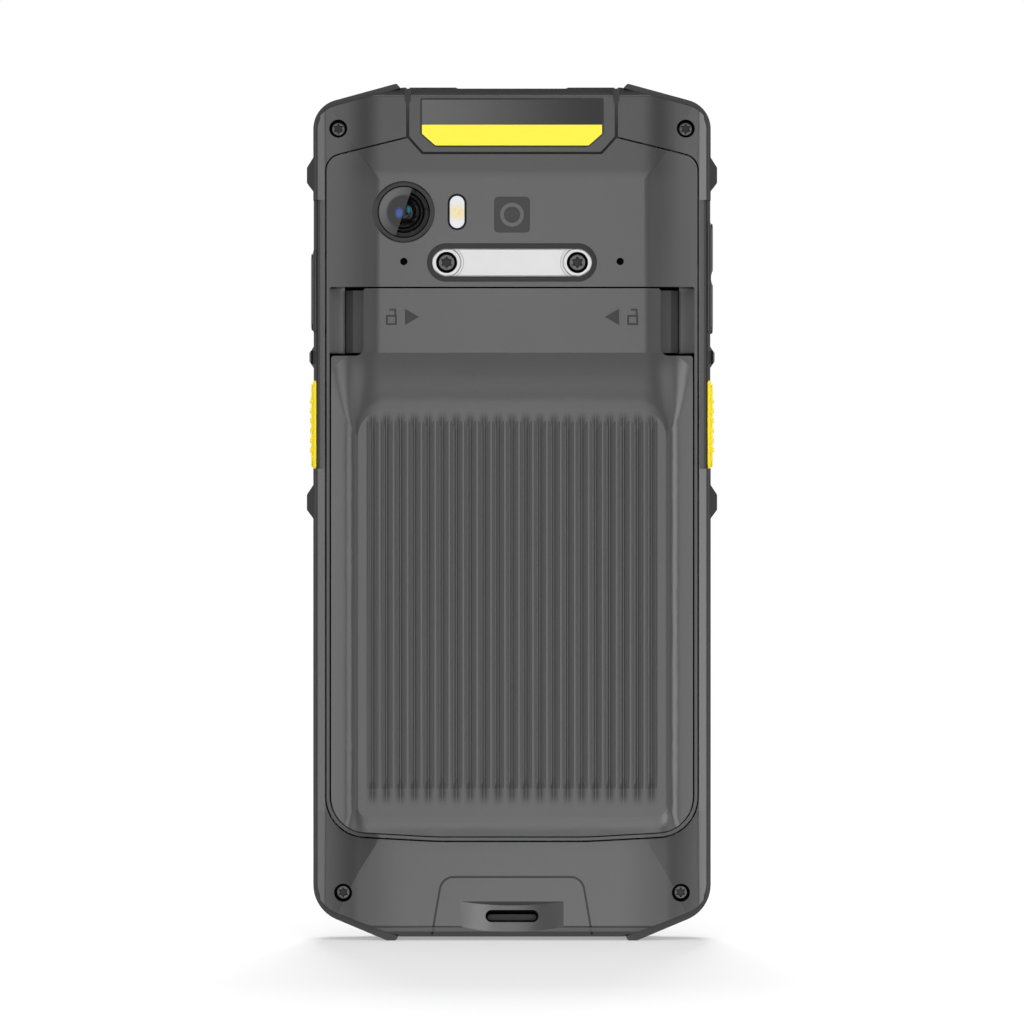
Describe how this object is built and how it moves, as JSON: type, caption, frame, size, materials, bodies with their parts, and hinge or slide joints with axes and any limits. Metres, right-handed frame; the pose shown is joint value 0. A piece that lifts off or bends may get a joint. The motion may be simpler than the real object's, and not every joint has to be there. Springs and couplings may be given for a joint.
{
  "type": "portable barcode data terminal",
  "caption": "Rugged handheld barcode data terminal with touch screen, rear camera, scan keys, corner bumpers and a latched battery pack that tilts out of its bay.",
  "frame": {"origin": "centre of the foot: the middle of the rectangle that the standing terminal covers, at the level of the lower bumper tips", "axes": "+Z along the length towards the scan window, +Y out of the touch screen, +X to the right when the rear is looked at"},
  "size_m": [0.0758, 0.017, 0.1579],
  "materials": {
    "housing_plastic": "fine matt grain, dark grey",
    "frame_plastic": "fine matt grain, near black",
    "bumper_rubber": "soft matt rubber, dark grey",
    "key_dark": "smooth dark key cap",
    "key_yellow": "satin yellow key cap",
    "plate_print": "two-tone printed film, blank",
    "strap_metal": "bead-blasted light metal",
    "screw_steel": "black oxide steel",
    "spring_steel": "bright spring wire and brass-coloured inserts",
    "touch_glass": "clear hardened glass with a black border",
    "optic_glass": "coated optical glass",
    "diffuser": "milky clear diffuser",
    "black_plastic": "black moulded plastic",
    "display_face": "switched-off display",
    "board_green": "green solder mask",
    "tin_plate": "tinned sheet metal",
    "magnesium": "cast magnesium mid frame",
    "flex_amber": "amber film with copper tracks",
    "gold_contact": "gold-plated contact",
    "led_yellow": "phosphor-coated light source",
    "seal_rubber": "black sealing rubber",
    "cell_foil": "wrapped pouch cell"
  },
  "bodies": {
    "terminal": {"rear_housing": "housing_plastic", "rear_panel": "housing_plastic", "scanner_cap": "housing_plastic", "front_frame": "frame_plastic", "upper_left_bumper": "bumper_rubber", "upper_right_bumper": "bumper_rubber", "lower_left_bumper": "bumper_rubber", "lower_right_bumper": "bumper_rubber", "name_plate": "plate_print", "strap_plate": "strap_metal", "case_screws": "screw_steel", "strap_screws": "screw_steel", "board_screws": "screw_steel", "strap_nuts": "spring_steel", "touch_glass": "touch_glass", "camera_window": "optic_glass", "scan_window": "optic_glass", "imager_lens": "optic_glass", "aimer_lens": "optic_glass", "flash_lens": "diffuser", "camera_ring": "black_plastic", "camera_module": "black_plastic", "flash_frame": "black_plastic", "scan_engine": "black_plastic", "battery_socket": "black_plastic", "speaker": "black_plastic", "earpiece": "black_plastic", "front_camera": "black_plastic", "microphones": "black_plastic", "side_contacts": "black_plastic", "display_module": "display_face", "main_board": "board_green", "sub_board": "board_green", "shield_cans": "tin_plate", "card_socket": "tin_plate", "usb_socket": "tin_plate", "vibration_motor": "tin_plate", "mid_plate": "magnesium", "key_flexes": "flex_amber", "display_flex": "flex_amber", "tag_coil": "flex_amber", "key_domes": "gold_contact", "flash_led": "led_yellow", "light_sensor": "led_yellow", "housing_gasket": "seal_rubber"},
    "battery_pack": {"battery_cover": "housing_plastic", "battery_tray": "black_plastic", "battery_seal": "seal_rubber", "battery_cell": "cell_foil", "pack_board": "board_green", "pack_pads": "gold_contact", "latch_springs": "spring_steel"},
    "left_latch_slide": {"left_latch": "housing_plastic"},
    "right_latch_slide": {"right_latch": "housing_plastic"},
    "power_button": {"power_key": "key_dark"},
    "volume_button": {"volume_rocker": "key_dark"},
    "left_scan_button": {"left_scan_key": "key_yellow"},
    "right_scan_button": {"right_scan_key": "key_yellow"},
    "side_flap": {"side_cover": "bumper_rubber"}
  },
  "joints": [
    {"name": "battery_tilt", "type": "hinge", "parent": "terminal", "child": "battery_pack", "pos_m": [0, -0.0063, 0.0195], "axis": [1, 0, 0], "range_deg": [0, 30]},
    {"name": "left_latch_push", "type": "slide", "parent": "battery_pack", "child": "left_latch_slide", "axis": [1, 0, 0], "range_m": [0, 0.0014], "stiffness_N_per_m": 300, "springref_m": -0.001},
    {"name": "right_latch_push", "type": "slide", "parent": "battery_pack", "child": "right_latch_slide", "axis": [-1, 0, 0], "range_m": [0, 0.0014], "stiffness_N_per_m": 300, "springref_m": -0.001},
    {"name": "power_press", "type": "slide", "parent": "terminal", "child": "power_button", "axis": [1, 0, 0], "range_m": [0, 0.0005], "stiffness_N_per_m": 800, "springref_m": -0.0008},
    {"name": "left_scan_press", "type": "slide", "parent": "terminal", "child": "left_scan_button", "axis": [1, 0, 0], "range_m": [0, 0.0005], "stiffness_N_per_m": 800, "springref_m": -0.0008},
    {"name": "right_scan_press", "type": "slide", "parent": "terminal", "child": "right_scan_button", "axis": [-1, 0, 0], "range_m": [0, 0.0005], "stiffness_N_per_m": 800, "springref_m": -0.0008},
    {"name": "volume_rock", "type": "hinge", "parent": "terminal", "child": "volume_button", "pos_m": [0.03585, 0.002, 0.1223], "axis": [0, 1, 0], "range_deg": [-2.5, 2.5], "stiffness_Nm_per_rad": 0.05},
    {"name": "side_cover_open", "type": "hinge", "parent": "terminal", "child": "side_flap", "pos_m": [-0.03675, 0.0038, 0.0706], "axis": [0, 0, -1], "range_deg": [0, 90]}
  ]
}
